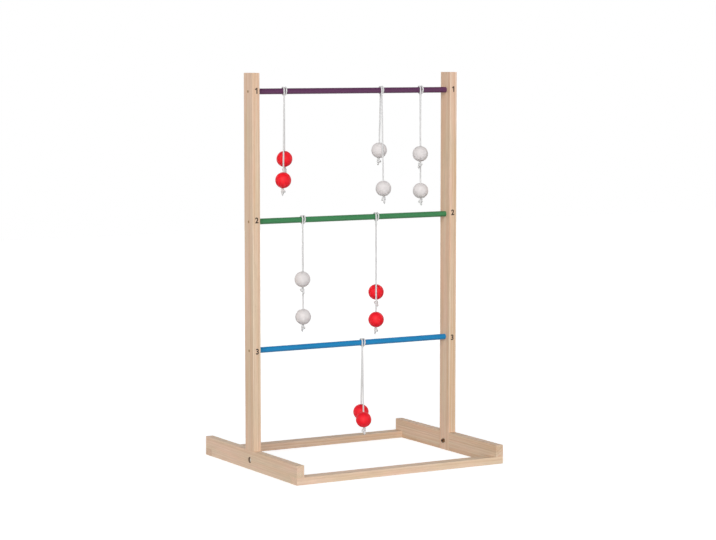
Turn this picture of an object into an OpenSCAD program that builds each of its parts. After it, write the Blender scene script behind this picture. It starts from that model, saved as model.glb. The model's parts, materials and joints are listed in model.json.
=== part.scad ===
// Ladder toss game: a wooden ladder of three rungs on two feet, with six bolas
// wound on its rungs. Millimetres, +Z up, front towards -Y. The origin lies on
// the floor, midway between the feet.

/* [Ladder] */
// Width over the outer faces of the two uprights
frame_width = 610; // [560:1:800]
// Thickness of an upright and of a foot, across the ladder
upright_thick = 21; // [18:0.5:30]
// Depth of an upright from front to back
upright_depth = 47; // [36:0.5:70]
// Height that the uprights reach above the middle of the top rung
top_reach = 47; // [20:1:90]
// Rounding of the long edges of every wooden bar
edge_round = 1; // [0.5:0.1:2.5]

/* [Rungs] */
// Diameter of a rung
rung_d = 15; // [12:0.5:22]
// Height of the lowest rung's middle above the floor
rung_low = 307; // [280:1:360]
// Height from one rung to the next
rung_gap = 330; // [310:1:400]
// Depth of the blind hole in the upright that holds a rung's end
rung_seat = 12; // [8:0.5:14]

/* [Feet] */
// Length of a foot from front to back
foot_length = 507; // [400:1:700]
// Height of a foot
foot_height = 49.5; // [40:0.5:70]
// Depth of a crossbar from front to back
crossbar_depth = 34; // [25:0.5:50]
// Height of a crossbar
crossbar_height = 18.5; // [14:0.5:26]

/* [Fasteners] */
// Diameter of the bolt through a foot
bolt_d = 6; // [4:0.5:8]
// Diameter of the bolt's round head
bolt_head_d = 12; // [10:0.5:14]
// Height of the bolt's head
bolt_head_h = 3.6; // [2.5:0.1:4.5]
// Diameter of the sunk hole that takes the bolt's head
bolt_sink_d = 15; // [14.5:0.5:20]
// Depth of the bolt head's top below the foot's outer face
bolt_sunk = 2.2; // [0.5:0.1:3]
// Length of bolt that shows past the nut
bolt_past_nut = 2; // [1:0.5:5]
// Diameter of the washer under the nut
washer_d = 14; // [12:0.5:20]
// Thickness of the washer
washer_h = 1.2; // [0.8:0.1:2]
// Width of the nut across its flats
nut_flats = 10; // [9.5:0.5:13]
// Height of the nut
nut_h = 5; // [3:0.5:7]
// Diameter of a wood screw's shank
screw_d = 4; // [3:0.5:5]
// Diameter of a wood screw's countersunk head
screw_head_d = 7.6; // [6:0.2:10]
// Length of the screw into a rung's end
rung_screw = 40; // [30:1:60]
// Length of the screw up through a crossbar into a foot
bar_screw = 38; // [28:1:42]

/* [Bolas] */
// Diameter of the cord
cord_d = 4; // [3:0.1:4.4]
// Diameter of a ball
ball_d = 41; // [32:0.5:46]
// Turns of cord wound on a rung
wrap_turns = 1.5; // [1.5,2.5]
// Length of cord between a ball and the knot below it
knot_neck = 4; // [0.5:0.5:8]
// Diameter of the knot at its widest turn
knot_d = 11; // [9:0.5:14]
// Length of cord end that shows below a knot
tail = 8; // [3:0.5:14]

/* [Clearances] */
// Radial clearance of rungs, bolts and screws in their holes, and of a cord in its ball
fit = 0.05; // [0.02:0.01:0.1]
// Gap of a cord to the rung that it winds round and to the ball that it passes
cord_gap = 0.3; // [0.2:0.05:0.6]

/* [Hidden] */
$fn = 64;
eps = 0.01;
frame_height = rung_low + 2 * rung_gap + top_reach;
inner_x = frame_width / 2 - upright_thick;
lap = upright_thick / 2;
rung_z = [rung_low, rung_low + rung_gap, rung_low + 2 * rung_gap];
bolt_z = foot_height / 2;
bolt_sink = bolt_head_h + bolt_sunk;
countersink = (screw_head_d - screw_d) / 2;
// Hex socket of the bolt's head, the sphere that domes the head and the one that
// rounds the nut's corners
socket_d = 0.4 * bolt_head_d;
socket_h = 0.55 * bolt_head_h;
dome_d = 2.06 * bolt_head_d;
nut_round_d = 1.2 * nut_flats;
// Cross slot of a wood screw and its blunt tip
slot_w = 0.25 * screw_d;
slot_h = 0.35 * screw_d;
tip_d = 0.2 * screw_d;
cord_r = cord_d / 2;
ball_r = ball_d / 2;
// Distance of a wound cord's middle from the rung's axis
side = rung_d / 2 + cord_r + cord_gap;
// Straight end of a winding, one cord thick, and the pivot of a strand below it
wrap_end = cord_d;
pivot_drop = wrap_end + cord_gap + cord_r;
wrap_steps = 24;
// Tilt of the cord's cut end out of the knot
tail_tilt = 8;
// Turns of a knot: thickness of the wide one and of the two small ones beside it
turn_r = 0.19 * knot_d;
small_turn_r = 0.16 * knot_d;
small_turn_z = 0.24 * knot_d;
knot_core = 0.17 * knot_d;
knot_half = small_turn_z + small_turn_r;

// One bola per row: rung, place of its front strand along the rung, lead of its
// winding, then for the front and the back strand the depth of its ball below
// the rung and how far the ball hangs sideways of where its strand leaves the rung
BOLAS = [
    [2, -206.5, 6.8, 226.3, -3.6, 173, 0.4],
    [2, 82, 5, 256, 3.5, 157, -3],
    [2, 200.7, 7.4, 167.8, -0.7, 266.7, 1.4],
    [1, -153.8, 7.1, 153, -1.3, 252.8, 0.7],
    [1, 65.3, 7.2, 270.3, -0.2, 199.8, 0.5],
    [0, 23.6, 7.5, 201.5, -1.5, 187, 0.6]
];

wood = [0.90, 0.78, 0.62];
wood_dark = [0.86, 0.73, 0.56];
steel = [0.62, 0.63, 0.65];
dark_steel = [0.25, 0.22, 0.20];
cord_white = [0.93, 0.93, 0.92];
ball_red = [0.86, 0.11, 0.17];
ball_white = [0.95, 0.95, 0.94];
rung_blue = [0.14, 0.50, 0.74];
rung_green = [0.24, 0.50, 0.33];
rung_purple = [0.37, 0.23, 0.36];

// Outline of a planed bar with its four long edges rounded
module bar_profile(w, h) {
    r = edge_round;
    translate([r, 0]) square([w - 2 * r, h]);
    translate([0, r]) square([w, h - 2 * r]);
    for (x = [r, w - r], y = [r, h - r])
        translate([x, y]) circle(r);
}

// Bar from its lowest corner, lying along X, Y or standing along Z
module bar_x(l, d, h) {
    rotate([90, 0, 90]) linear_extrude(l) bar_profile(d, h);
}

module bar_y(w, l, h) {
    translate([0, l, 0]) rotate([90, 0, 0]) linear_extrude(l) bar_profile(w, h);
}

module bar_z(w, d, l) {
    linear_extrude(l) bar_profile(w, d);
}

// Pieces of the right side are drawn, and the left ones mirror them
module rung_holes() {
    for (z = rung_z) {
        translate([inner_x - eps, 0, z]) rotate([0, 90, 0])
            cylinder(h = rung_seat + eps, d = rung_d + 2 * fit);
        translate([frame_width / 2, 0, z]) rotate([0, -90, 0])
            screw_hole(upright_thick);
    }
}

// Countersunk hole of a wood screw, drilled along +Z from the face at z = 0
module screw_hole(l) {
    translate([0, 0, -eps]) cylinder(h = l + 2 * eps, d = screw_d + 2 * fit);
    translate([0, 0, -eps])
        cylinder(h = countersink + fit + eps, d1 = screw_head_d + 2 * fit + 2 * eps,
                 d2 = screw_d);
}

// Wood screw along +Z with its head's top just below z = 0
module wood_screw(l) {
    point = screw_d;
    translate([0, 0, fit]) difference() {
        union() {
            cylinder(h = countersink, d1 = screw_head_d, d2 = screw_d);
            cylinder(h = l - point, d = screw_d);
            translate([0, 0, l - point]) cylinder(h = point, d1 = screw_d, d2 = tip_d);
        }
        for (a = [0, 90]) rotate([0, 0, a])
            translate([-screw_d / 2, -slot_w / 2, -eps])
                cube([screw_d, slot_w, slot_h + eps]);
    }
}

module upright() {
    difference() {
        translate([inner_x, -upright_depth / 2, 0])
            bar_z(upright_thick, upright_depth, frame_height);
        translate([inner_x + lap, -upright_depth, -eps])
            cube([upright_thick, 2 * upright_depth, foot_height + eps]);
        rung_holes();
        foot_bolt_hole();
    }
}

// Hole of the bolt that clamps the upright's tongue to the foot
module foot_bolt_hole() {
    translate([inner_x - 1, 0, bolt_z]) rotate([0, 90, 0])
        cylinder(h = upright_thick + 2, d = bolt_d + 2 * fit);
}

module foot() {
    difference() {
        translate([inner_x, -foot_length / 2, 0])
            bar_y(upright_thick, foot_length, foot_height);
        translate([inner_x - 1, -upright_depth / 2, -1])
            cube([lap + 1, upright_depth, foot_height + 2]);
        for (s = [-1, 1])
            translate([inner_x - 1, s * (foot_length - crossbar_depth) / 2, 0])
                translate([0, -crossbar_depth / 2 - (s < 0 ? 1 : 0), -1])
                    cube([upright_thick + 2, crossbar_depth + 1, crossbar_height + 1]);
        foot_bolt_hole();
        translate([frame_width / 2 - bolt_sink, 0, bolt_z]) rotate([0, 90, 0])
            cylinder(h = bolt_sink + 1, d = bolt_sink_d);
        bar_screw_places() cylinder(h = bar_screw + fit, d = screw_d + 2 * fit);
    }
}

// Places of the screws under the right foot's two ends
module bar_screw_places() {
    for (s = [-1, 1])
        translate([frame_width / 2 - upright_thick / 2,
                   s * (foot_length - crossbar_depth) / 2, 0])
            children();
}

module both_sides() {
    children();
    mirror([1, 0, 0]) children();
}

module right_upright() {
    color(wood) upright();
}

module left_upright() {
    color(wood) mirror([1, 0, 0]) upright();
}

module right_foot() {
    color(wood_dark) foot();
}

module left_foot() {
    color(wood_dark) mirror([1, 0, 0]) foot();
}

// Crossbar that runs the whole width under the ends of both feet
module crossbar(s) {
    color(wood) difference() {
        translate([-frame_width / 2,
                   s * (foot_length - crossbar_depth) / 2 - crossbar_depth / 2, 0])
            bar_x(frame_width, crossbar_depth, crossbar_height);
        both_sides() bar_screw_places() screw_hole(crossbar_height);
    }
}

module front_crossbar() {
    crossbar(-1);
}

module back_crossbar() {
    crossbar(1);
}

// Rung between the bottoms of its two blind holes, drilled for a screw at each end
module rung(i) {
    half = inner_x + rung_seat;
    difference() {
        translate([-half, 0, rung_z[i]]) rotate([0, 90, 0])
            cylinder(h = 2 * half, d = rung_d);
        both_sides() translate([frame_width / 2, 0, rung_z[i]]) rotate([0, -90, 0])
            cylinder(h = rung_screw + 2 * fit, d = screw_d + 2 * fit);
    }
}

module bottom_rung() {
    color(rung_blue) rung(0);
}

module middle_rung() {
    color(rung_green) rung(1);
}

module top_rung() {
    color(rung_purple) rung(2);
}

module rung_screws() {
    color(steel) both_sides()
        for (z = rung_z)
            translate([frame_width / 2, 0, z]) rotate([0, -90, 0]) wood_screw(rung_screw);
}

module crossbar_screws() {
    color(steel) both_sides() bar_screw_places() wood_screw(bar_screw);
}

// Round-headed bolt from the sunk hole inwards through washer and nut
module foot_bolts() {
    color(steel) both_sides()
        translate([frame_width / 2 - bolt_sunk, 0, bolt_z]) rotate([0, -90, 0])
            union() {
                difference() {
                    intersection() {
                        cylinder(h = bolt_head_h, d = bolt_head_d);
                        translate([0, 0, bolt_head_d]) sphere(d = dome_d);
                    }
                    translate([0, 0, -eps]) cylinder(h = socket_h + eps, d = socket_d, $fn = 6);
                }
                cylinder(h = upright_thick - bolt_sunk + washer_h + nut_h + bolt_past_nut,
                         d = bolt_d);
            }
}

module foot_washers() {
    color(steel) both_sides()
        translate([inner_x, 0, bolt_z]) rotate([0, -90, 0])
            difference() {
                cylinder(h = washer_h, d = washer_d);
                translate([0, 0, -1]) cylinder(h = washer_h + 2, d = bolt_d + 2 * fit);
            }
}

module foot_nuts() {
    color(dark_steel) both_sides()
        translate([inner_x - washer_h, 0, bolt_z]) rotate([0, -90, 0])
            difference() {
                intersection() {
                    cylinder(h = nut_h, d = nut_flats / cos(30), $fn = 6);
                    translate([0, 0, nut_h / 2]) sphere(d = nut_round_d);
                }
                translate([0, 0, -1]) cylinder(h = nut_h + 2, d = bolt_d + 2 * fit);
            }
}

// Least distance that two points of the given lateral and vertical offset need
// between them from front to back, to lie the distance d apart
function spread(d, dx, dz) = sqrt(max(0, d * d - dx * dx - dz * dz));

// Places along the rung where the front and the back strand leave it
function front_x(b) = b[1];
function back_x(b) = b[1] + b[2] * wrap_turns;

// Depth of the upper ball, where the strands may press each other apart
function upper(b) = min(b[3], b[5]);

// How far each strand leans outwards at the upper ball's depth: the other cord
// passes that ball, and balls at nearly one height press against each other
function lean(b) = let (
        u = upper(b),
        dx = (back_x(b) + b[6] * u / b[5]) - (front_x(b) + b[4] * u / b[3]),
        cord = spread(ball_r + cord_r + cord_gap, dx, 0),
        ball = spread(ball_d + cord_gap, dx, abs(b[3] - b[5])))
    max(0, (max(cord, ball) - 2 * side) / 2);

// Pivot just below the winding, and the middle of the ball, of either strand
function pivot(b, s) = [s < 0 ? front_x(b) : back_x(b), s * side,
                        rung_z[b[0]] - pivot_drop];
function ball_at(b, s) = let (drop = s < 0 ? b[3] : b[5], dx = s < 0 ? b[4] : b[6])
    [(s < 0 ? front_x(b) : back_x(b)) + dx,
     s * (side + lean(b) * drop / upper(b)),
     rung_z[b[0]] - drop];

// Draws its children hanging down from p in the direction of q
module hang(p, q) {
    v = q - p;
    translate(p) rotate([asin(v.y / norm(v)), atan2(-v.x, -v.z), 0]) children();
}

// Route of a winding: up the front of the rung, round it and down behind, with a
// straight end one cord long below each side
function wrap_route(b) = let (n = wrap_steps * wrap_turns) concat(
    [[front_x(b), -side, rung_z[b[0]] - wrap_end]],
    [for (i = [0 : n]) let (a = 360 * i / wrap_steps)
        [front_x(b) + b[2] * i / wrap_steps, -side * cos(a), rung_z[b[0]] + side * sin(a)]],
    [[back_x(b), side, rung_z[b[0]] - wrap_end]]);

// Outward direction of the winding at each point of its route
function wrap_out(b) = let (n = wrap_steps * wrap_turns) concat(
    [[0, -1, 0]],
    [for (i = [0 : n]) let (a = 360 * i / wrap_steps) [0, -cos(a), sin(a)]],
    [[0, 1, 0]]);

function unit(v) = v / norm(v);

// Tube of six sides swept along points p with the outward directions q
module tube(p, q, r, sides = 6) {
    last = len(p) - 1;
    rings = [for (i = [0 : last]) let (
            t = i == 0 || i == last ? [0, 0, i == 0 ? 1 : -1]
                                    : unit(p[i + 1] - p[i - 1]),
            u = unit(q[i] - t * (q[i] * t)),
            w = cross(t, u))
        for (k = [0 : sides - 1]) p[i] + r * (cos(360 * k / sides) * u
                                              + sin(360 * k / sides) * w)];
    walls = [for (i = [0 : last - 1], k = [0 : sides - 1]) let (
            a = i * sides + k, c = i * sides + (k + 1) % sides)
        each [[a, c, c + sides], [a, c + sides, a + sides]]];
    caps = [for (k = [1 : sides - 2]) each [
        [0, k + 1, k],
        [last * sides, last * sides + k, last * sides + k + 1]]];
    polyhedron(rings, [for (f = concat(walls, caps)) [f[0], f[2], f[1]]]);
}

module wrap(b) {
    color(cord_white) tube(wrap_route(b), wrap_out(b), cord_r);
}

// Overhand knot pulled tight: one wide turn between two small ones, its middle at
// the origin
module knot() {
    wide = knot_d / 2 - turn_r;
    rotate_extrude() {
        translate([wide, 0]) circle(turn_r, $fn = 32);
        translate([0, -small_turn_z]) square([wide, 2 * small_turn_z]);
        for (k = [-1, 1]) translate([knot_core, k * small_turn_z]) intersection() {
            circle(small_turn_r, $fn = 32);
            translate([-knot_core, -small_turn_r])
                square([knot_core + small_turn_r, 2 * small_turn_r]);
        }
        translate([0, -knot_half]) square([knot_core, 2 * knot_half]);
    }
}

// Strand from its round top, through the ball's bore and a short neck, to the knot
// below the ball and the cord's cut end
module strand(b, s) {
    l = norm(ball_at(b, s) - pivot(b, s));
    k = l + ball_r + knot_neck + knot_half;
    color(cord_white) hang(pivot(b, s), ball_at(b, s)) {
        sphere(cord_r);
        translate([0, 0, -k]) cylinder(h = k, r = cord_r);
        translate([0, 0, -k]) {
            knot();
            rotate([tail_tilt * s, tail_tilt, 0])
                translate([0, 0, -knot_half - tail]) cylinder(h = knot_half + tail, r = cord_r);
        }
    }
}

module ball(b, s, c) {
    l = norm(ball_at(b, s) - pivot(b, s));
    bore = cord_r + fit;
    color(c) hang(pivot(b, s), ball_at(b, s)) translate([0, 0, -l])
        difference() {
            sphere(ball_r);
            translate([0, 0, -ball_d]) cylinder(h = 2 * ball_d, r = bore);
        }
}

module wrap_1() { wrap(BOLAS[0]); }
module front_cord_1() { strand(BOLAS[0], -1); }
module front_ball_1() { ball(BOLAS[0], -1, ball_red); }
module back_cord_1() { strand(BOLAS[0], 1); }
module back_ball_1() { ball(BOLAS[0], 1, ball_red); }
module wrap_2() { wrap(BOLAS[1]); }
module front_cord_2() { strand(BOLAS[1], -1); }
module front_ball_2() { ball(BOLAS[1], -1, ball_white); }
module back_cord_2() { strand(BOLAS[1], 1); }
module back_ball_2() { ball(BOLAS[1], 1, ball_white); }
module wrap_3() { wrap(BOLAS[2]); }
module front_cord_3() { strand(BOLAS[2], -1); }
module front_ball_3() { ball(BOLAS[2], -1, ball_white); }
module back_cord_3() { strand(BOLAS[2], 1); }
module back_ball_3() { ball(BOLAS[2], 1, ball_white); }
module wrap_4() { wrap(BOLAS[3]); }
module front_cord_4() { strand(BOLAS[3], -1); }
module front_ball_4() { ball(BOLAS[3], -1, ball_white); }
module back_cord_4() { strand(BOLAS[3], 1); }
module back_ball_4() { ball(BOLAS[3], 1, ball_white); }
module wrap_5() { wrap(BOLAS[4]); }
module front_cord_5() { strand(BOLAS[4], -1); }
module front_ball_5() { ball(BOLAS[4], -1, ball_red); }
module back_cord_5() { strand(BOLAS[4], 1); }
module back_ball_5() { ball(BOLAS[4], 1, ball_red); }
module wrap_6() { wrap(BOLAS[5]); }
module front_cord_6() { strand(BOLAS[5], -1); }
module front_ball_6() { ball(BOLAS[5], -1, ball_red); }
module back_cord_6() { strand(BOLAS[5], 1); }
module back_ball_6() { ball(BOLAS[5], 1, ball_red); }

// Least gap of a winding to itself, between points half a turn or more apart
function self_gap(p) = min([for (i = [0 : len(p) - 1], j = [i : len(p) - 1])
    if (j - i >= wrap_steps / 2) norm(p[i] - p[j])]) - cord_d;
echo(least_gap_of_windings = [for (b = BOLAS) self_gap(wrap_route(b))]);

left_upright();
right_upright();
left_foot();
right_foot();
front_crossbar();
back_crossbar();
bottom_rung();
middle_rung();
top_rung();
rung_screws();
crossbar_screws();
foot_bolts();
foot_washers();
foot_nuts();
wrap_1();
front_cord_1();
front_ball_1();
back_cord_1();
back_ball_1();
wrap_2();
front_cord_2();
front_ball_2();
back_cord_2();
back_ball_2();
wrap_3();
front_cord_3();
front_ball_3();
back_cord_3();
back_ball_3();
wrap_4();
front_cord_4();
front_ball_4();
back_cord_4();
back_ball_4();
wrap_5();
front_cord_5();
front_ball_5();
back_cord_5();
back_ball_5();
wrap_6();
front_cord_6();
front_ball_6();
back_cord_6();
back_ball_6();
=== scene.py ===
# Ladder toss game: camera, lights and floor, braided cords with their knots, printed
# numbers, and the finishes of wood, paint, plastic and steel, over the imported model.
import json
from math import cos, pi, radians, sin, tau

import bpy
import numpy as np
from bpy.props import FloatProperty, FloatVectorProperty, IntProperty, PointerProperty
from mathutils import Matrix, Vector

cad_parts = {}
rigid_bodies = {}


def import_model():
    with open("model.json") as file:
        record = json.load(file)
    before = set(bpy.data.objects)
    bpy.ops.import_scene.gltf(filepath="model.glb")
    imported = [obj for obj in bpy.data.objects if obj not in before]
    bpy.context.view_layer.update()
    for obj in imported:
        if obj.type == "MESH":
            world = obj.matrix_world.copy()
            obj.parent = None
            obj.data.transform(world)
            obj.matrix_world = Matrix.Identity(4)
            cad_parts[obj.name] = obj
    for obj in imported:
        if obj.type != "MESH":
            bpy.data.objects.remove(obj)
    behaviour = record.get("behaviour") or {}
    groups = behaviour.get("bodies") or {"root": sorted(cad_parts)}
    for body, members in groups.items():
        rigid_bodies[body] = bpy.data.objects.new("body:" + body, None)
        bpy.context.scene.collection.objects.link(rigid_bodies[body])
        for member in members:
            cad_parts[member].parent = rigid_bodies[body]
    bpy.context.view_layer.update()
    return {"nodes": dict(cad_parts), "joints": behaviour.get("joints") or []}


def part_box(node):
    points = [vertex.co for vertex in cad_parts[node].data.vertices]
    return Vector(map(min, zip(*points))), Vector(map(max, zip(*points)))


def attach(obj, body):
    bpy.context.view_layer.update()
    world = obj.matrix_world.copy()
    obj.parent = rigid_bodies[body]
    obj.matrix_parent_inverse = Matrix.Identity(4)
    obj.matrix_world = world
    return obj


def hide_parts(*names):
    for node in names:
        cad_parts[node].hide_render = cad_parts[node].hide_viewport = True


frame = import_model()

bl_info = {
    "name": "Ladder Toss Game",
    "version": (1, 0, 0),
    "blender": (4, 5, 0),
    "location": "View3D > Sidebar > Ladder Toss",
    "description": "Cords, knots, numbers and finishes of a wooden ladder toss game",
    "category": "Object",
}

MM = 0.001
SIDES = ("front", "back")
BOLAS = range(1, 7)
RUNGS = ("top", "middle", "bottom")
# How much higher than its rung's middle a number is printed
PRINT_RISE = {"top": 2.1 * MM, "middle": 4.9 * MM, "bottom": -0.2 * MM}
PIVOTS = {j["name"]: Vector(j["pos_m"]) for j in frame["joints"] if "pos_m" in j}


def linear(code):
    """Linear colour of an sRGB hex code."""
    parts = [int(code[i:i + 2], 16) / 255 for i in (1, 3, 5)]
    return [c / 12.92 if c <= 0.04045 else ((c + 0.055) / 1.055) ** 2.4 for c in parts]


def colour(code, name, description):
    """Colour setting with a default from its sRGB hex code."""
    return FloatVectorProperty(name=name, description=description, subtype="COLOR",
                               size=3, min=0, max=1, default=linear(code))


def length(mm, name, description):
    """Length setting with a default in millimetres."""
    return FloatProperty(name=name, description=description, unit="LENGTH",
                         subtype="DISTANCE", min=0, precision=5, default=mm * MM)


class CordSettings(bpy.types.PropertyGroup):
    """Braided cord of the bolas"""
    diameter: length(4, "Diameter", "Thickness of the braided cord")
    knot_width: length(12.0, "Knot width", "Width of the pulled knot below a ball")
    knot_height: length(9.8, "Knot height", "Height of the pulled knot below a ball")
    knot_drop: length(7.5, "Knot drop", "Depth of the knot's middle below the ball")
    tail: length(6.4, "Frayed end", "Length of the loose yarns below the knot")
    yarns: IntProperty(name="Yarns", description="Number of yarns in the frayed end",
                       default=34, min=8, max=60)
    crown: length(1.9, "Crown length", "Length of one crossing of the braid")
    yarn: colour("#e8e8e8", "Yarn", "Colour of the polyester yarn")
    # Painted shade: the creases between the crossings take this darker colour
    gap: colour("#c4c3c2", "Gap", "Colour between the crossings")
    loose: colour("#f8f8f7", "Loose yarn", "Colour of the fanned yarns of a frayed end")


class BallSettings(bpy.types.PropertyGroup):
    """Moulded plastic balls"""
    red: colour("#f5182a", "Red", "Plastic of the red balls")
    white: colour("#e0dad9", "White", "Plastic of the white balls")
    seam: length(0.5, "Seam width", "Width of the mould's parting line")
    grain: length(0.9, "Grain", "Size of the moulded surface grain")
    red_depth: length(20, "Red depth", "How far light spreads inside the red plastic")
    white_depth: length(45, "White depth", "How far light spreads inside the white plastic")
    red_milky: FloatProperty(name="Red milkiness", description="Share of light that spreads "
                             "inside the red plastic", default=1.0, min=0, max=1)
    white_milky: FloatProperty(name="White milkiness", description="Share of light that "
                               "spreads inside the white plastic", default=0.3, min=0, max=1)


class TimberSettings(bpy.types.PropertyGroup):
    """Planed pine of the ladder"""
    early: colour("#e6ccb5", "Earlywood", "Pale wood between the ring lines")
    late: colour("#c79d78", "Latewood", "Ring lines")
    warm: colour("#dcb391", "Warm streak", "Warmer streaks along the grain")
    heart: colour("#a2724a", "Pin knot", "Middle of a small knot")
    # Painted shade: the sunk hole round a foot bolt is painted this dark brown
    hole_shade: colour("#5c4635", "Shaded wood", "Wall of a sunk bolt hole, painted dark as shade in the recess")
    ring: length(4.6, "Ring width", "Width of one growth ring")
    fibre: length(0.7, "Fibre width", "Width of the fine streaks")
    sunk: length(7.5, "Sunk hole radius", "Radius of the hole that takes a bolt's head")


class PaintSettings(bpy.types.PropertyGroup):
    """Satin paint of the rungs"""
    top: colour("#5d3256", "Top rung", "Purple paint")
    middle: colour("#3c8151", "Middle rung", "Green paint")
    bottom: colour("#1482bc", "Bottom rung", "Blue paint")
    streak: length(0.6, "Streak width", "Width of the wood grain under the paint")


class SteelSettings(bpy.types.PropertyGroup):
    """Fasteners"""
    zinc: colour("#e0d8cc", "Zinc", "Zinc-plated bolts and washers")
    bronze: colour("#ae8e66", "Bronzed", "Bronzed wood screws")
    # Partly a browned finish and partly painted light: this brown also stands in for the wood
    # reflected in the nut and the shade round it
    brown: colour("#866b53", "Browned", "Browned nuts")
    # Painted shade: a bolt's inner end by the nut is painted this dark colour
    painted_shade: colour("#46382c", "Darkened thread", "Dark oil in a bolt's thread")


class NumberSettings(bpy.types.PropertyGroup):
    """Numbers printed beside the rungs"""
    height: length(15, "Height", "Height of a numeral")
    weight: length(0.7, "Weight", "How much thicker than the plain font each side of a stroke is")
    inward: length(1, "Inward", "How far the numbers stand from the upright's middle to the rungs")
    ink: colour("#2e190b", "Ink", "Dark brown printing ink")
    film: length(0.06, "Ink film", "Thickness of the ink on the wood")


class StageSettings(bpy.types.PropertyGroup):
    """Camera, lights and floor"""
    lens: FloatProperty(name="Lens", description="Focal length on a 36 mm sensor",
                        subtype="DISTANCE_CAMERA", default=113.17, min=20)
    eye: FloatVectorProperty(name="Camera place", description="Where the camera stands",
                             subtype="TRANSLATION", default=(-2.91631, -5.0747, 1.06023))
    yaw: FloatProperty(name="Camera yaw", description="Turn of the camera to the right",
                       subtype="ANGLE", default=radians(30.02))
    pitch: FloatProperty(name="Camera pitch", description="Tilt of the camera downwards",
                         subtype="ANGLE", default=radians(5.47))
    key: FloatProperty(name="Key light", description="Strength of the soft front light",
                       default=2.15, min=0)
    key_side: FloatProperty(name="Key side", description="How far left the key stands",
                            subtype="ANGLE", default=radians(34))
    key_height: FloatProperty(name="Key height", description="Height of the key as an angle",
                              subtype="ANGLE", default=radians(22))
    key_spread: FloatProperty(name="Key spread", description="How wide the key looks",
                              subtype="ANGLE", default=radians(50))
    fill: FloatProperty(name="Fill light", description="Strength of the soft light behind",
                        default=1.0, min=0)
    fill_height: FloatProperty(name="Fill height", description="Height of the fill as an angle",
                               subtype="ANGLE", default=radians(6))
    fill_spread: FloatProperty(name="Fill spread", description="How wide the fill looks",
                               subtype="ANGLE", default=radians(90))
    wall: FloatProperty(name="Wall light", description="Light from the level of the horizon",
                        default=0.84, min=0)
    ceiling: FloatProperty(name="Ceiling light", description="Light from straight above",
                           default=0.0, min=0)
    floor: length(14000, "Floor", "Size of the square floor")
    paper: FloatProperty(name="Floor tone", description="Tone of the floor in the picture",
                         default=0.75, min=0, max=1)
    glow: FloatProperty(name="Floor glow", description="Light that lifts the floor to white",
                        default=0.62, min=0)
    bounce: FloatProperty(name="Floor bounce", description="Tone that the floor sends back up",
                          default=0.58, min=0, max=1)


GROUPS = {
    "cords": CordSettings, "balls": BallSettings, "timber": TimberSettings,
    "paint": PaintSettings, "steel": SteelSettings, "numbers": NumberSettings,
    "stage": StageSettings,
}


def settings(name):
    """Settings group of the scene."""
    return getattr(bpy.context.scene, "ladder_toss_" + name)


def add(tree, kind, inputs=None, **options):
    """Adds a node, with its options, its plain values and its links from other nodes."""
    node = tree.nodes.new("ShaderNode" + kind)
    for option, value in options.items():
        setattr(node, option, value)
    for key, value in (inputs or {}).items():
        if isinstance(value, bpy.types.Node):
            value = value.outputs[0]
        if isinstance(value, bpy.types.NodeSocket):
            tree.links.new(value, node.inputs[key])
        else:
            node.inputs[key].default_value = value
    return node


def number(tree, operation, *values):
    """Result of a sum on numbers."""
    return add(tree, "Math", dict(enumerate(values)), operation=operation).outputs[0]


def vector(tree, operation, *values):
    """Result of a sum on vectors, which is a number only for their length."""
    node = add(tree, "VectorMath", dict(enumerate(values)), operation=operation)
    return node.outputs["Value" if operation == "LENGTH" else "Vector"]


def carried(tree, value, low, high, start=0.0, end=1.0, **options):
    """Value carried over from the range low to high to the range start to end."""
    return add(tree, "MapRange", {0: value, 1: low, 2: high, 3: start, 4: end},
               **options).outputs[0]


def mixed(tree, share, first, second, **options):
    """Colour that goes from first to second as share goes from 0 to 1."""
    return add(tree, "Mix", {0: share, 6: first, 7: second}, data_type="RGBA",
               **options).outputs[2]


def toned(tree, tint, tone):
    """Colour multiplied by a tone."""
    return mixed(tree, 1.0, tint, tone, blend_type="MULTIPLY")


def noise(tree, place, detail, scale=1.0, **constants):
    """Noise value at a place."""
    inputs = {"Vector": place, "Scale": scale, "Detail": detail, **constants}
    return add(tree, "TexNoise", inputs).outputs[0]


def new_material(name):
    """Empty material and its node tree."""
    material = bpy.data.materials.new(name)
    material.use_nodes = True
    material.node_tree.nodes.clear()
    return material, material.node_tree


def finish_shader(tree, tint, roughness, height=None, relief=0.0, **constants):
    """Principled shader with bump, whose plain numbers sit on its own sockets."""
    shader = add(tree, "BsdfPrincipled", {"Base Color": tint, "Roughness": roughness})
    for name, value in constants.items():
        shader.inputs[name.replace("_", " ")].default_value = value
    if height is not None:
        bump = add(tree, "Bump", {"Strength": 1.0, "Distance": relief, "Height": height})
        tree.links.new(bump.outputs[0], shader.inputs["Normal"])
    add(tree, "OutputMaterial", {"Surface": shader})


def dress(node, material):
    """Puts a material on a CAD node or on a new piece."""
    piece = frame["nodes"].get(node) if isinstance(node, str) else node
    if piece.material_slots:
        piece.material_slots[0].material = material
    else:
        piece.data.materials.append(material)


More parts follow.
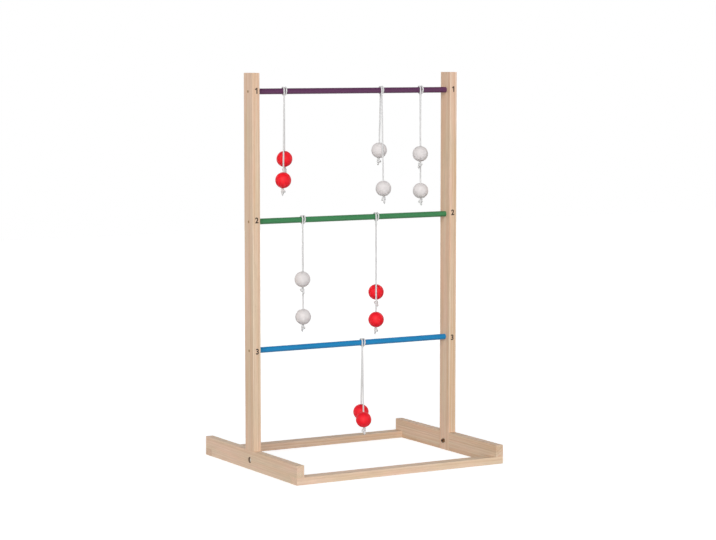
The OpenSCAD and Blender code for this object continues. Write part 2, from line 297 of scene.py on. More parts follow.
def braided_polyester():
    """Braided polyester cord: plump crossings in two directions with the gaps between them painted
    darker, as painted shade in the creases, matt, with a faint sheen from the yarns. Reads the
    cord's own UV map, whose U is in metres along the cord and V in turns round it."""
    s = settings("cords")
    material, tree = new_material("braided_polyester_cord")
    parts = add(tree, "SeparateXYZ", {0: add(tree, "UVMap", uv_map="UVMap")})
    along = number(tree, "MULTIPLY", parts.outputs[0], 1 / s.crown)
    crossings = 8.0  # round the cord, as in a 16-strand braid
    right = number(tree, "MULTIPLY_ADD", parts.outputs[1], crossings, along)
    left = number(tree, "MULTIPLY_ADD", parts.outputs[1], -crossings, along)
    pillows, cells = [], []
    for phase in (right, left):
        wave = number(tree, "SINE", number(tree, "MULTIPLY", phase, pi))
        pillows.append(number(tree, "ABSOLUTE", wave))
        cells.append(number(tree, "FLOOR", phase))
    plump = number(tree, "POWER", number(tree, "MULTIPLY", *pillows), 0.45)
    over = number(tree, "FLOORED_MODULO", number(tree, "ADD", *cells), 2.0)
    # Filaments run with whichever strand is on top
    run = add(tree, "Mix", {0: over, 2: right, 3: left}, data_type="FLOAT")
    filament = number(tree, "SINE", number(tree, "MULTIPLY", run, 5 * tau))
    height = number(tree, "MULTIPLY_ADD", filament, 0.06, plump)
    # Painted shade: the creases between the crossings are painted darker than the yarn
    shade = mixed(tree, plump, (*s.gap, 1), (*s.yarn, 1))
    finish_shader(tree, shade, 0.78, height, 0.16 * MM, Sheen_Weight=0.15,
                  Sheen_Roughness=0.5)
    return material


def loose_polyester():
    """Loose polyester yarns of a frayed end: pale and matt, with fine filament lines
    along each yarn. Reads the yarns' own UV map, whose V is in turns round them."""
    s = settings("cords")
    material, tree = new_material("loose_polyester_yarn")
    uv = add(tree, "UVMap", uv_map="UVMap")
    long = add(tree, "Mapping", {"Vector": uv, "Scale": (300, 9, 1)})
    filament = noise(tree, long, 1.0)
    shade = mixed(tree, carried(tree, filament, 0.3, 0.55), (*s.yarn, 1), (*s.loose, 1))
    finish_shader(tree, shade, 0.8, filament, 0.05 * MM, Sheen_Weight=0.3,
                  Sheen_Roughness=0.5, Subsurface_Weight=0.8, Subsurface_Scale=2 * MM,
                  Subsurface_Radius=(1.0, 1.0, 1.0))
    return material


def moulded_polyethylene(name, tint, centre, depth, milky):
    """Moulded polyethylene ball: satin, with a fine pebbled grain from the mould, a
    parting line round its middle and a barely uneven tone. Light that spreads inside
    the plastic softens its shaded side, the more the milkier it is."""
    s = settings("balls")
    material, tree = new_material(name)
    place = add(tree, "TexCoord")
    local = add(tree, "Mapping", {"Vector": place.outputs["Object"], "Location": -centre})
    grain = noise(tree, local, 3.0, 1 / s.grain, Roughness=0.6)
    clouds = noise(tree, local, 2.0, 90.0)
    shade = toned(tree, (*tint, 1), carried(tree, clouds, 0.3, 0.7, 0.955, 1.03))
    parts = add(tree, "SeparateXYZ", {0: local})
    off = number(tree, "ABSOLUTE", parts.outputs[2])
    seam = carried(tree, off, 0.0, s.seam / 2, 1.0, 0.0, interpolation_type="SMOOTHSTEP")
    height = number(tree, "MULTIPLY_ADD", grain, 0.5, seam)
    rough = carried(tree, grain, 0.3, 0.7, 0.46, 0.6)
    finish_shader(tree, shade, rough, height, 0.08 * MM, IOR=1.5, Specular_IOR_Level=0.3,
                  Subsurface_Weight=milky, Subsurface_Scale=depth,
                  Subsurface_Radius=(1.0, 1.0, 1.0))
    return material


# Along which axis the grain of a bar runs, and the turn that brings its length to local Z
GRAIN_TURNS = {"x": (0, radians(-90), 0), "y": (radians(90), 0, 0), "z": (0, 0, 0)}


def planed_pine(name, grain, pith, knots, pale, rich, bolt=None):
    """Planed pine, bare of varnish: pale earlywood with thin warmer ring lines that run
    along the bar and curve on its ends, fine fibre streaks, a few short dark flecks and
    small knots that the rings flow round. Matt, a little rougher on the end grain.
    No two boards are alike: pale lightens one and rich strengthens its lines and warm streaks. The
    hole round the bolt is painted dark, as painted shade in the recess. Works in millimetres with
    the middle of the tree at the place pith."""
    s = settings("timber")
    material, tree = new_material("planed_pine_" + name)
    place = add(tree, "TexCoord")
    turn = GRAIN_TURNS[grain]
    bar = add(tree, "Mapping", {"Vector": place.outputs["Object"], "Rotation": turn,
                                "Scale": (1000, 1000, 1000), "Location": pith})

    def grained(across, along, detail):
        """Noise drawn out along the bar, with its size across and along."""
        drawn = {"Vector": bar, "Scale": (1 / across, 1 / across, 1 / along)}
        return noise(tree, add(tree, "Mapping", drawn), detail)

    # Slow wander of the grain by up to 8 mm, 60 mm across and 900 mm along
    slow = add(tree, "Mapping", {"Vector": bar, "Scale": (1 / 60, 1 / 60, 1 / 900)})
    wander = add(tree, "TexNoise", {"Vector": slow, "Scale": 1.0, "Detail": 2.0})
    centred = vector(tree, "SUBTRACT", wander.outputs[1], (0.5, 0.5, 0.5))
    bent = vector(tree, "MULTIPLY_ADD", centred, (16, 16, 0), bar)
    radius = vector(tree, "LENGTH", vector(tree, "MULTIPLY", bent, (1, 1, 0)))
    heart = None
    for height, angle, size in knots:
        shifted = vector(tree, "SUBTRACT", bar, (0, 0, height))
        turned = add(tree, "Mapping", {"Vector": shifted, "Rotation": (0, 0, -angle)})
        away = vector(tree, "LENGTH", vector(tree, "MULTIPLY", turned, (0, 1, 0.4)))
        near = carried(tree, away, 0.0, 4.5 * size, 2.6 * size, 0.0,
                       interpolation_type="SMOOTHERSTEP")
        radius = number(tree, "ADD", radius, near)
        core = carried(tree, away, 0.35 * size, 0.8 * size, 1.0, 0.0)
        heart = core if heart is None else number(tree, "MAXIMUM", heart, core)
    ragged = grained(3, 60, 3.0)
    wobble = number(tree, "MULTIPLY_ADD", ragged, 2.2, radius)
    # Rings of unequal width
    season = add(tree, "TexNoise", {"W": wobble, "Scale": 1 / 22, "Detail": 2.0},
                 noise_dimensions="1D").outputs[0]
    uneven = number(tree, "MULTIPLY_ADD", season, 30.0, wobble)
    year = number(tree, "FRACT", number(tree, "DIVIDE", uneven, s.ring / MM))
    line = add(tree, "ValToRGB", {0: year})
    ramp = line.color_ramp
    ramp.elements[0].position, ramp.elements[0].color = 0.25, (0, 0, 0, 1)
    ramp.elements[1].position, ramp.elements[1].color = 0.86, (1, 1, 1, 1)
    ramp.elements.new(0.99).color = (0, 0, 0, 1)

    fibre = grained(s.fibre / MM, 45, 2.0)
    streak = grained(7, 350, 2.0)
    fleck = carried(tree, grained(0.8, 9, 1.0), 0.66, 0.76)

    # Some years leave a strong line and some a faint one
    strong = carried(tree, season, 0.35, 0.65, 0.35 * rich, 0.95 * rich)
    amount = number(tree, "MULTIPLY", line, strong)
    wood = mixed(tree, amount, (*s.early, 1), (*s.late, 1))
    warmth = carried(tree, streak, 0.4, 0.65, 0.0, 0.7 * rich)
    wood = mixed(tree, warmth, wood, (*s.warm, 1))
    # Patches a hand long, one more grey and one more pink
    blush = carried(tree, grained(30, 160, 2.0), 0.35, 0.65)
    wood = toned(tree, wood, mixed(tree, blush, (0.955, 0.99, 0.95, 1), (1.03, 1.0, 1.01, 1)))
    wood = toned(tree, wood, carried(tree, fibre, 0.3, 0.7, 0.91 * pale, 1.07 * pale))
    wood = mixed(tree, number(tree, "MULTIPLY", fleck, 0.28), wood, (*s.heart, 1))
    if heart is not None:
        wood = mixed(tree, number(tree, "MULTIPLY", heart, 0.75), wood, (*s.heart, 1))

    # End grain: open pores, a little darker and rougher
    facing = add(tree, "Mapping", {"Vector": place.outputs["Normal"], "Rotation": turn},
                 vector_type="VECTOR")
    parts = add(tree, "SeparateXYZ", {0: facing})
    end = carried(tree, number(tree, "ABSOLUTE", parts.outputs[2]), 0.75, 0.95)
    dots = noise(tree, bar, 2.0, 2.2)
    pores = carried(tree, dots, 0.35, 0.6, 0.93, 1.04)
    cut = add(tree, "Mix", {0: end, 2: 1.0, 3: pores}, data_type="FLOAT")
    wood = toned(tree, wood, cut)
    # Painted shade: the wood inside the sunk hole round the bolt is painted dark
    if bolt is not None:
        across = vector(tree, "SUBTRACT", place.outputs["Object"], bolt)
        away = vector(tree, "LENGTH", vector(tree, "MULTIPLY", across, (0, 1, 1)))
        hole_shade_mask = carried(tree, away, s.sunk + 0.1 * MM, s.sunk + 0.6 * MM, 0.9, 0.0)
        wood = mixed(tree, hole_shade_mask, wood, (*s.hole_shade, 1))

    grooves = number(tree, "MULTIPLY_ADD", line, 0.5, fibre)
    relief = add(tree, "Mix", {0: end, 2: grooves, 3: dots}, data_type="FLOAT")
    satin = carried(tree, fibre, 0.3, 0.7, 0.68, 0.54)
    rough = number(tree, "MULTIPLY_ADD", end, 0.15, satin)
    finish_shader(tree, wood, rough, relief, 0.12 * MM, IOR=1.5, Specular_IOR_Level=0.4)
    return material


def satin_paint(name, tint):
    """Satin acrylic paint on a turned beech dowel: an even coat whose sheen breaks along
    the wood grain that shows through it, with a few dust nibs."""
    s = settings("paint")
    material, tree = new_material("satin_paint_" + name)
    place = add(tree, "TexCoord").outputs["Object"]
    long = add(tree, "Mapping", {"Vector": place, "Scale": (28, 1 / s.streak, 1 / s.streak)})
    streak = noise(tree, long, 3.0)
    wide = add(tree, "Mapping", {"Vector": place, "Scale": (9, 130, 130)})
    both = number(tree, "ADD", streak, noise(tree, wide, 1.0))
    shade = toned(tree, (*tint, 1), carried(tree, both, 0.7, 1.3, 0.9, 1.1))
    nib = carried(tree, noise(tree, place, 1.0, 420.0), 0.68, 0.8)
    height = number(tree, "MULTIPLY_ADD", nib, 0.6, streak)
    rough = carried(tree, streak, 0.3, 0.7, 0.5, 0.38)
    finish_shader(tree, shade, rough, height, 0.06 * MM, IOR=1.48, Specular_IOR_Level=0.35)
    return material


def plated_steel(name, tint, roughness, thread=0.0):
    """Plated steel: a thin dull plating that softens reflections, with fine random scratches and
    slightly cloudy patches. The part that lies nearer to the ladder's middle than the distance
    thread, a bolt's inner end, is painted dark as painted shade round the nut."""
    material, tree = new_material(name)
    place = add(tree, "TexCoord").outputs["Object"]
    clouds = noise(tree, place, 3.0, 350.0)
    shade = toned(tree, (*tint, 1), carried(tree, clouds, 0.3, 0.7, 0.85, 1.08))
    off = number(tree, "ABSOLUTE", add(tree, "SeparateXYZ", {0: place}))
    # Painted shade: the bolt's inner end is painted dark
    shaded_end = number(tree, "LESS_THAN", off, thread)
    shade = mixed(tree, shaded_end, shade, (*settings("steel").painted_shade, 1))
    marks = add(tree, "Mapping", {"Vector": place, "Rotation": (0.6, 0.4, 0.9),
                                  "Scale": (5000, 5000, 300)})
    scratch = noise(tree, marks, 2.0)
    rough = carried(tree, scratch, 0.3, 0.7, roughness - 0.06, roughness + 0.08)
    finish_shader(tree, shade, rough, scratch, 0.01 * MM, Metallic=1.0)
    return material


def printing_ink():
    """Pad-printing ink on bare wood: dark brown and matt, thinner where the fibres
    drink it, so the grain shows through as paler streaks."""
    s, wood = settings("numbers"), settings("timber")
    material, tree = new_material("brown_printing_ink")
    place = add(tree, "TexCoord").outputs["Object"]
    fibre = noise(tree, add(tree, "Mapping", {"Vector": place, "Scale": (1600, 1600, 40)}), 3.0)
    thin = carried(tree, fibre, 0.55, 0.75, 0.0, 0.3)
    shade = mixed(tree, thin, (*s.ink, 1), (*wood.late, 1))
    finish_shader(tree, shade, 0.7, fibre, 0.03 * MM, IOR=1.5)
    return material


def white_floor():
    """Plain white floor: paper white to the camera, keeping the soft shadow, and
    greyer to the light that it sends back up, so undersides stay in shade."""
    s = settings("stage")
    material, tree = new_material("white_floor")
    rays = add(tree, "LightPath")
    shown = number(tree, "MAXIMUM", rays.outputs["Is Camera Ray"],
                   rays.outputs["Is Glossy Ray"])
    shown = number(tree, "MAXIMUM", shown, rays.outputs["Is Transmission Ray"])
    paper = add(tree, "BsdfDiffuse", {"Color": (*[s.paper] * 3, 1)})
    glow = add(tree, "Emission", {"Color": (1, 1, 1, 1), "Strength": s.glow})
    lit = add(tree, "AddShader", {0: paper, 1: glow})
    bounce = add(tree, "BsdfDiffuse", {"Color": (*[s.bounce] * 3, 1)})
    both = add(tree, "MixShader", {0: shown, 1: bounce, 2: lit})
    add(tree, "OutputMaterial", {"Surface": both})
    return material


def deselect():
    """Leaves nothing selected."""
    for o in bpy.context.selected_objects:
        o.select_set(False)


def swept(name, runs, radius, sides=16):
    """Round cords swept along runs of points with a thickness factor each, made one mesh
    by way of a curve. U of its map is in metres along each run."""
    deselect()
    curve = bpy.data.curves.new(name, "CURVE")
    curve.dimensions = "3D"
    curve.bevel_depth = radius
    curve.bevel_resolution = (sides - 4) // 4
    curve.use_fill_caps = True
    for points, factors in runs:
        spline = curve.splines.new("POLY")
        spline.points.add(len(points) - 1)
        for dot, place, factor in zip(spline.points, points, factors):
            dot.co = (*place, 1)
            dot.radius = factor
    piece = bpy.data.objects.new(name, curve)
    bpy.context.collection.objects.link(piece)
    bpy.context.view_layer.objects.active = piece
    piece.select_set(True)
    bpy.ops.object.convert(target="MESH")
    piece = bpy.context.object
    bpy.ops.object.shade_smooth()
    span = sum((Vector(b) - Vector(a)).length for a, b in zip(runs[0][0], runs[0][0][1:]))
    for corner in piece.data.uv_layers["UVMap"].uv:
        corner.vector.x *= span
    return piece


def rounded(points, factors, steps=5):
    """Adds half-round ends to a run of points, one cord radius long."""
    radius = settings("cords").diameter / 2
    points, factors = [Vector(p) for p in points], list(factors)
    for end in (0, -1):
        away = (points[0] - points[1]) if end == 0 else (points[-1] - points[-2])
        away.normalize()
        tip = points[end].copy()
        extra = [(tip + away * radius * sin(a), max(0.02, cos(a)))
                 for a in (pi / 2 * k / steps for k in range(1, steps + 1))]
        if end == 0:
            points[:0], factors[:0] = [p for p, f in extra[::-1]], [f for p, f in extra[::-1]]
        else:
            points += [p for p, f in extra]
            factors += [f for p, f in extra]
    return points, factors


def ball_middle(k, side):
    """Middle of a ball."""
    low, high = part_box(f"{side}_ball_{k}")
    return (low + high) / 2


def ball_radius():
    """Radius of a ball, the same for all twelve."""
    low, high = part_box("front_ball_1")
    return (high - low).x / 2


def hanging(k, side):
    """Pivot of a strand, the middle of its ball and the strand's direction."""
    pivot, ball = PIVOTS[f"bola_{k}_{side}_swing"], ball_middle(k, side)
    return pivot, ball, (ball - pivot).normalized()


def rung_of(k):
    """Name of the rung that a bola hangs on: the next one above its pivot."""
    pivot = PIVOTS[f"bola_{k}_front_swing"]
    heights = {r: sum(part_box(r + "_rung"), Vector()).z / 2 for r in RUNGS}
    return min((r for r in RUNGS if heights[r] > pivot.z), key=lambda r: heights[r])


def winding_route(k):
    """Points of a winding from pivot to pivot: up the front of the rung, one and a half
    turns round it and down behind."""
    front, back = (PIVOTS[f"bola_{k}_{side}_swing"] for side in SIDES)
    low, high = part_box(rung_of(k) + "_rung")
    middle, reach = (low.z + high.z) / 2, -front.y
    turns, steps = 1.5, 72
    route = [Vector((front.x, -reach, front.z + (middle - front.z) * i / 4)) for i in range(4)]
    for i in range(steps + 1):
        a = tau * turns * i / steps
        route.append(Vector((front.x + (back.x - front.x) * i / steps,
                             -reach * cos(a), middle + reach * sin(a))))
    route += [Vector((back.x, reach, middle + (back.z - middle) * i / 4)) for i in range(1, 5)]
    return route


def pulled_overhand():
    """Middle line of an overhand knot pulled tight, in cord diameters, its ends along Z.
    A loose knot's ends are drawn apart while its cord keeps its length and thickness."""
    count, pulls, settlings, pace, bending = 90, 340, 20, 0.015, 0.03
    apart = 1.7  # length of cord between two points that can press on each other
    t = np.linspace(-2.2, 2.2, count)
    line = 0.72 * np.stack([t ** 4 - 4 * t ** 2, t ** 5 / 5 - 2 * t, t ** 3 - 3 * t], 1)
    run = np.r_[0, np.cumsum(np.linalg.norm(np.diff(line, axis=0), axis=1))]
    step = run[-1] / (count - 1)
    even = np.linspace(0, run[-1], count)
    line = np.stack([np.interp(even, run, line[:, k]) for k in range(3)], 1)
    first, second = np.triu_indices(count, int(np.ceil(apart / step)))
    up = np.sign(line[-1, 2] - line[0, 2])
    for _ in range(pulls):
        line[[0, -1], :2] *= 0.98
        line[0, 2] -= pace * up
        line[-1, 2] += pace * up
        ends = line[[0, -1]].copy()
        for _ in range(settlings):
            # Cord pushes cord apart where they come closer than one thickness
            gap = line[second] - line[first]
            far = np.linalg.norm(gap, axis=1)
            near = far < 1
            push = gap[near] / far[near, None] * ((1 - far[near]) / 4)[:, None]
            np.add.at(line, first[near], -push)
            np.add.at(line, second[near], push)
            line[1:-1] += bending * ((line[:-2] + line[2:]) / 2 - line[1:-1])
            for odd in (0, 1):
                a = np.arange(odd, count - 1, 2)
                gap = line[a + 1] - line[a]
                far = np.linalg.norm(gap, axis=1, keepdims=True)
                fix = gap * (1 - step / far) / 2
                line[a] += fix
                line[a + 1] -= fix
            line[[0, -1]] = ends
    return line if up < 0 else line[::-1]


def knot_run():
    """Run of the cord through a knot, from the ball's bore to where its end frays, with
    the cord squeezed in the knot. The knot's middle is at the origin."""
    s = settings("cords")
    line = pulled_overhand()
    core = line[np.abs(line[:, 2]) < 1.5]
    squeezed, above, below, taper = 1.08, 1.5 * MM, 1.2 * MM, 3 * MM
    thick = s.diameter * squeezed
    wide = (s.knot_width - thick) / np.ptp(core[:, 0])
    tall = (s.knot_height - thick) / np.ptp(core[:, 2])
    middle = (core[:, 0].max() + core[:, 0].min()) / 2
    top, bottom = s.knot_drop + above, -s.knot_height / 2 - below
    points, factors = [], []
    for x, y, z in line:
        place = Vector(((x - middle) * wide, y * wide, z * tall))
        if not bottom <= place.z <= top:
            continue
        # Above the knot the cord comes back to the middle of the ball's bore
        rise = min(1, max(0, (place.z - s.knot_height / 2) / (s.knot_drop - s.knot_height / 2)))
        fall = min(1, max(0, (-s.knot_height / 2 - place.z) / taper))
        place.xy *= 1 - rise ** 2 * (3 - 2 * rise)
        place.xy *= 1 - 0.3 * fall
        points.append(place)
        factors.append(squeezed + (1 - squeezed) * max(rise, 0.7 * fall))
    return smoothed(points), factors


def smoothed(points, rounds=2):
    """Points moved towards their neighbours, the ends kept."""
    for _ in range(rounds):
        points = [points[0]] + [(a + 2 * b + c) / 4 for a, b, c
                                in zip(points, points[1:], points[2:])] + [points[-1]]
    return points


def frayed_yarns(start):
    """Runs of the loose yarns at the cord's cut end. They are held in the cord, swell
    like a brush and close to a tip, and the outer ones are shorter."""
    s = settings("cords")
    chance = np.random.default_rng(7)
    held, steps, thickness = 1.0 * MM, 8, 0.2
    spiral = 2.4  # angle from one yarn to the next, which spreads them evenly
    runs = []
    for i in range(s.yarns):
        angle, out = i * spiral, (i / s.yarns) ** 0.5
        reach = s.tail * (1.05 - 0.45 * out + 0.12 * chance.uniform(-1, 1))
        inside, swell = 0.4 * s.diameter * out, 0.42 * s.diameter * out
        tip = inside * chance.uniform(0.2, 0.9)
        bend, phase = chance.uniform(-0.35, 0.35) * MM, chance.uniform(0, tau)
        points, factors = [], []
        for j in range(steps + 1):
            f = j / steps
            r = inside + (tip - inside) * f + swell * sin(pi * f ** 0.6)
            sway = bend * sin(pi * f * 1.6 + phase) * f
            points.append(start + Vector((r * cos(angle) + sway, r * sin(angle) - sway,
                                          held - (reach + held) * f)))
            factors.append(thickness * (1 - 0.5 * f ** 3))
        runs.append((points, factors))
    return runs


class LADDER_TOSS_OT_stage(bpy.types.Operator):
    """Sets up the camera, the key and fill lights, the light around and the floor"""
    bl_idname = "ladder_toss.stage"
    bl_label = "Stage"

    def execute(self, context):
        s = settings("stage")
        deselect()
        for o in list(bpy.data.objects):
            if o.type in {"CAMERA", "LIGHT"} or o.name == "Cube":
                bpy.data.objects.remove(o)
        bpy.ops.object.camera_add(location=s.eye, rotation=(pi / 2 - s.pitch, 0, -s.yaw))
        camera = context.object
        camera.name = "camera"
        camera.data.lens = s.lens
        camera.data.sensor_width = 36
        context.scene.camera = camera

        # The key stands behind the camera and the fill opposite, behind the ladder
        for name, strength, height, side, spread, place in (
                ("key_light", s.key, s.key_height, -s.key_side, s.key_spread, (-2, -4, 2)),
                ("fill_light", s.fill, s.fill_height, pi - s.key_side, s.fill_spread,
                 (2, 4, 2))):
            bpy.ops.object.light_add(type="SUN", location=place,
                                     rotation=(pi / 2 - height, 0, side))
            lamp = context.object
            lamp.name = name
            lamp.data.energy = strength
            lamp.data.angle = spread

        world = bpy.data.worlds.new("studio")
        context.scene.world = world
        world.use_nodes = True
        tree = world.node_tree
        tree.nodes.clear()
        rays = add(tree, "LightPath")
        shown = number(tree, "MAXIMUM", rays.outputs["Is Camera Ray"],
                       rays.outputs["Is Transmission Ray"])
        # The walls of the studio are bright and its ceiling is dim
        way = add(tree, "SeparateXYZ", {0: add(tree, "TexCoord").outputs["Generated"]})
        level = carried(tree, way.outputs[2], 0.0, 1.0, s.wall, s.ceiling)
        around = add(tree, "Background", {"Color": (1, 1, 1, 1), "Strength": level})
        white = add(tree, "Background", {"Color": (1, 1, 1, 1), "Strength": 1.0})
        both = add(tree, "MixShader", {0: shown, 1: around, 2: white})
        add(tree, "OutputWorld", {"Surface": both})
        context.scene.view_settings.view_transform = "Standard"

        deselect()
        bpy.ops.mesh.primitive_plane_add(size=s.floor, location=(0, 0, -0.3 * MM))
        floor = context.object
        floor.name = "floor"
        bpy.ops.object.transform_apply()
        dress(floor, white_floor())
        return {"FINISHED"}


class LADDER_TOSS_OT_windings(bpy.types.Operator):
    """Winds the cord of each bola round its rung"""
    bl_idname = "ladder_toss.windings"
    bl_label = "Windings"

    def execute(self, context):
        radius = settings("cords").diameter / 2
        cord = braided_polyester()
        for k in BOLAS:
            route = winding_route(k)
            piece = swept(f"winding_{k}", [rounded(route, [1] * len(route))], radius)
            dress(piece, cord)
            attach(piece, f"bola_{k}")
            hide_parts(f"wrap_{k}")
        return {"FINISHED"}


class LADDER_TOSS_OT_knots(bpy.types.Operator):
    """Ties an overhand knot with a frayed end below each ball"""
    bl_idname = "ladder_toss.knots"
    bl_label = "Knots"

    def execute(self, context):
        s = settings("cords")
        points, factors = knot_run()
        pattern = swept("knot_pattern", [(points, factors)] + frayed_yarns(points[-1]),
                        s.diameter / 2, sides=12)
        dress(pattern, bpy.data.materials["braided_polyester_cord"])
        pattern.data.materials.append(loose_polyester())
        # The yarns and the cord's cut end are loose polyester
        for face in pattern.data.polygons:
            face.material_index = int(face.center.z < points[-1].z + 0.5 * MM)
        radius = ball_radius()
        facing = -settings("stage").yaw
        for k in BOLAS:
            for i, side in enumerate(SIDES):
                pivot, ball, down = hanging(k, side)
                middle = ball + down * (radius + s.knot_drop)
                turn = Vector((0, 0, -1)).rotation_difference(down).to_matrix().to_4x4()
                # Broad side to the front, every knot turned a little otherwise
                spin = Matrix.Rotation(facing + pi * ((k + i) % 2) + 0.5 * sin(5 * k + 2 * i),
                                       4, "Z")
                knot = pattern.copy()
                knot.data = pattern.data.copy()
                knot.name = f"{side}_knot_{k}"
                context.collection.objects.link(knot)
                knot.data.transform(Matrix.Translation(middle) @ turn @ spin)
                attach(knot, f"bola_{k}_{side}")
        bpy.data.objects.remove(pattern)
        return {"FINISHED"}


class LADDER_TOSS_OT_strands(bpy.types.Operator):
    """Hangs each strand from its winding through its ball to the knot"""
    bl_idname = "ladder_toss.strands"
    bl_label = "Strands"

    def execute(self, context):
        s = settings("cords")
        radius, steps, below = s.diameter / 2, 40, 1 * MM
        cord = bpy.data.materials["braided_polyester_cord"]
        for k in BOLAS:
            for side in SIDES:
                pivot, ball, down = hanging(k, side)
                # It ends below the ball, inside the cord that runs into the knot
                span = (ball - pivot).length + ball_radius() + below
                route = [pivot + down * span * i / steps for i in range(steps + 1)]
                piece = swept(f"{side}_strand_{k}", [rounded(route, [1] * len(route))], radius)
                dress(piece, cord)
                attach(piece, f"bola_{k}_{side}")
                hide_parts(f"{side}_cord_{k}")
        return {"FINISHED"}


class LADDER_TOSS_OT_balls(bpy.types.Operator):
    """Finishes the twelve balls in red and white plastic"""
    bl_idname = "ladder_toss.balls"
    bl_label = "Balls"

    def execute(self, context):
        s = settings("balls")
        for k in BOLAS:
            for side in SIDES:
                node = f"{side}_ball_{k}"
                red = frame["nodes"][node].material_slots[0].name.startswith("ball_red")
                dress(node, moulded_polyethylene(
                    f"moulded_polyethylene_{'red' if red else 'white'}_{side}_{k}",
                    s.red if red else s.white, ball_middle(k, side),
                    s.red_depth if red else s.white_depth,
                    s.red_milky if red else s.white_milky))
        return {"FINISHED"}


class LADDER_TOSS_OT_timber(bpy.types.Operator):
    """Finishes the uprights, feet and crossbars in planed pine"""
    bl_idname = "ladder_toss.timber"
    bl_label = "Timber"

    def execute(self, context):
        # Grain direction, middle of the tree beside the bar, small knots as height along
        # the grain, direction from the pith and size, all in millimetres, then how pale
        # and how rich in lines the board is
        bars = {
            "left_upright": ("z", (345, 60, 0), [(742, 3.0, 2.5)], 1.03, 0.9),
            "right_upright": ("z", (-250, 70, 40), [(985, 2.2, 3.5)], 1.0, 1.0),
            "left_foot": ("y", (330, 75, 0), [(-120, 2.9, 2.5)], 1.03, 0.5),
            "right_foot": ("y", (-260, 95, 0), [], 0.97, 0.9),
            "front_crossbar": ("x", (60, 300, 0), [(120, -0.8, 2.0)], 1.06, 0.5),
            "back_crossbar": ("x", (70, -190, 0), [], 0.93, 0.8),
        }
        low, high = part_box("foot_bolts")
        for node, (grain, pith, knots, pale, rich) in bars.items():
            bolt = (low + high) / 2 if node.endswith("foot") else None
            dress(node, planed_pine(node, grain, pith, knots, pale, rich, bolt))
        return {"FINISHED"}


class LADDER_TOSS_OT_rungs(bpy.types.Operator):
    """Paints the three rungs purple, green and blue"""
    bl_idname = "ladder_toss.rungs"
    bl_label = "Rungs"

    def execute(self, context):
        for name in RUNGS:
            dress(name + "_rung", satin_paint(name, getattr(settings("paint"), name)))
        return {"FINISHED"}


class LADDER_TOSS_OT_fasteners(bpy.types.Operator):
    """Finishes bolts and washers in zinc with the bolts' inner ends painted dark as shade, the
    wood screws in bronze and the nuts in brown, a tone that also paints the wood's reflection and
    the shade round them
    """
    bl_idname = "ladder_toss.fasteners"
    bl_label = "Fasteners"

    def execute(self, context):
        s = settings("steel")
        inner = -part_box("left_upright")[1].x
        bronze = plated_steel("bronzed_steel", s.bronze, 0.45)
        # The bolts' inner ends are painted dark, as painted shade round the nuts
        dress("foot_bolts", plated_steel("zinc_plated_bolt", s.zinc, 0.5, inner))
        dress("foot_washers", plated_steel("zinc_plated_washer", s.zinc, 0.5))
        dress("rung_screws", bronze)
        dress("crossbar_screws", bronze)
        # The nuts' brown is partly their finish and partly a painted reflection of the wood and
        # painted shade
        dress("foot_nuts", plated_steel("browned_steel_and_painted_shade", s.brown, 0.45))
        return {"FINISHED"}


def numeral(body):
    """A numeral in the XZ plane as a thin mesh: 2 and 3 from the plain font, and a 1
    with a flag, which that font hasn't."""
    s = settings("numbers")
    deselect()
    if body == "1":
        bpy.ops.curve.primitive_bezier_curve_add(rotation=(pi / 2, 0, 0))
        curve = bpy.context.object.data
        curve.dimensions = "2D"
        curve.fill_mode = "BOTH"
        curve.splines.clear()
        outline = curve.splines.new("POLY")
        corners = ((0.28, 0), (0.50, 0), (0.50, 1), (0.33, 1), (0.04, 0.8), (0.04, 0.6),
                   (0.28, 0.74))
        outline.points.add(len(corners) - 1)
        for dot, (x, z) in zip(outline.points, corners):
            dot.co = (x * s.height, z * s.height, 0, 1)
        outline.use_cyclic_u = True
    else:
        bpy.ops.object.text_add(rotation=(pi / 2, 0, 0))
        curve = bpy.context.object.data
        curve.body = body
        curve.size = 1.4 * s.height  # brings its digits to about this height
        curve.offset = s.weight
    curve.extrude = s.film / 2
    bpy.ops.object.convert(target="MESH")
    bpy.ops.object.transform_apply()
    return bpy.context.object


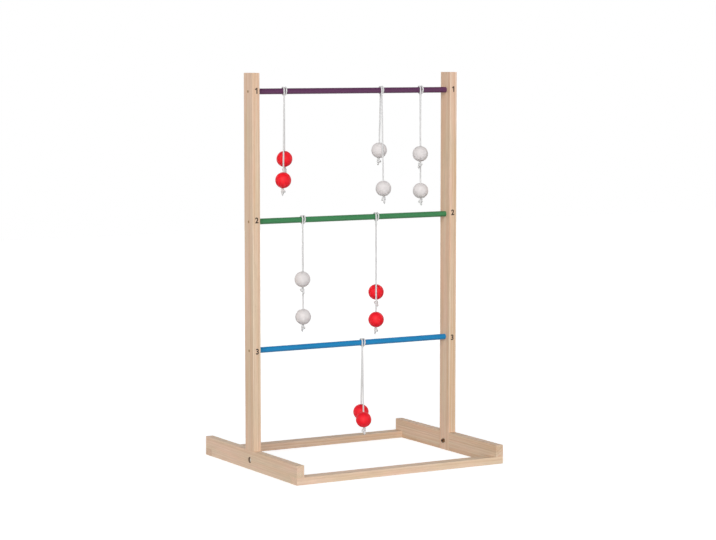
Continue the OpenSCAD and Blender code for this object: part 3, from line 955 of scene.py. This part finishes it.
class LADDER_TOSS_OT_numbers(bpy.types.Operator):
    """Prints 1, 2 and 3 beside the rungs on the front of both uprights"""
    bl_idname = "ladder_toss.numbers"
    bl_label = "Numbers"

    def execute(self, context):
        s = settings("numbers")
        ink = printing_ink()
        for side in ("left", "right"):
            low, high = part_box(side + "_upright")
            place = (low.x + high.x) / 2 + (s.inward if side == "left" else -s.inward)
            for i, rung in enumerate(RUNGS):
                height = sum(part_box(rung + "_rung"), Vector()).z / 2 + PRINT_RISE[rung]
                piece = numeral(str(i + 1))
                piece.name = f"{side}_number_{i + 1}"
                dots = [v.co.copy() for v in piece.data.vertices]
                box = [(min(d[a] for d in dots), max(d[a] for d in dots)) for a in range(3)]
                scale = s.height / (box[2][1] - box[2][0])
                at = Vector((place, low.y - s.film / 2, height))
                middle = Vector([sum(b) / 2 for b in box])
                piece.data.transform(Matrix.Translation(at)
                                     @ Matrix.Diagonal((scale, 1, scale, 1))
                                     @ Matrix.Translation(-middle))
                dress(piece, ink)
                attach(piece, "ladder")
        return {"FINISHED"}


class LADDER_TOSS_PT_panel(bpy.types.Panel):
    """Steps and settings of the ladder toss game"""
    bl_idname = "LADDER_TOSS_PT_panel"
    bl_label = "Ladder Toss Game"
    bl_space_type = "VIEW_3D"
    bl_region_type = "UI"
    bl_category = "Ladder Toss"

    def draw(self, context):
        for operator in OPERATORS:
            self.layout.operator(operator.bl_idname)
        for name, group in GROUPS.items():
            box = self.layout.box()
            box.label(text=name.title())
            for field in group.__annotations__:
                box.prop(settings(name), field)


OPERATORS = (
    LADDER_TOSS_OT_stage, LADDER_TOSS_OT_windings, LADDER_TOSS_OT_knots,
    LADDER_TOSS_OT_strands, LADDER_TOSS_OT_balls, LADDER_TOSS_OT_timber,
    LADDER_TOSS_OT_rungs, LADDER_TOSS_OT_fasteners, LADDER_TOSS_OT_numbers,
)


def register():
    """Makes the steps, the panel and the settings known to Blender."""
    for cls in (*GROUPS.values(), *OPERATORS, LADDER_TOSS_PT_panel):
        bpy.utils.register_class(cls)
    for name, group in GROUPS.items():
        setattr(bpy.types.Scene, "ladder_toss_" + name, PointerProperty(type=group))


def unregister():
    """Takes them out again."""
    for name in GROUPS:
        delattr(bpy.types.Scene, "ladder_toss_" + name)
    for cls in (LADDER_TOSS_PT_panel, *OPERATORS[::-1], *GROUPS.values()):
        bpy.utils.unregister_class(cls)


def main():
    """Builds the ladder's visual model."""
    register()
    bpy.ops.ladder_toss.stage()
    bpy.ops.ladder_toss.windings()
    bpy.ops.ladder_toss.knots()
    bpy.ops.ladder_toss.strands()
    bpy.ops.ladder_toss.balls()
    bpy.ops.ladder_toss.timber()
    bpy.ops.ladder_toss.rungs()
    bpy.ops.ladder_toss.fasteners()
    bpy.ops.ladder_toss.numbers()


if __name__ == "__main__":
    main()
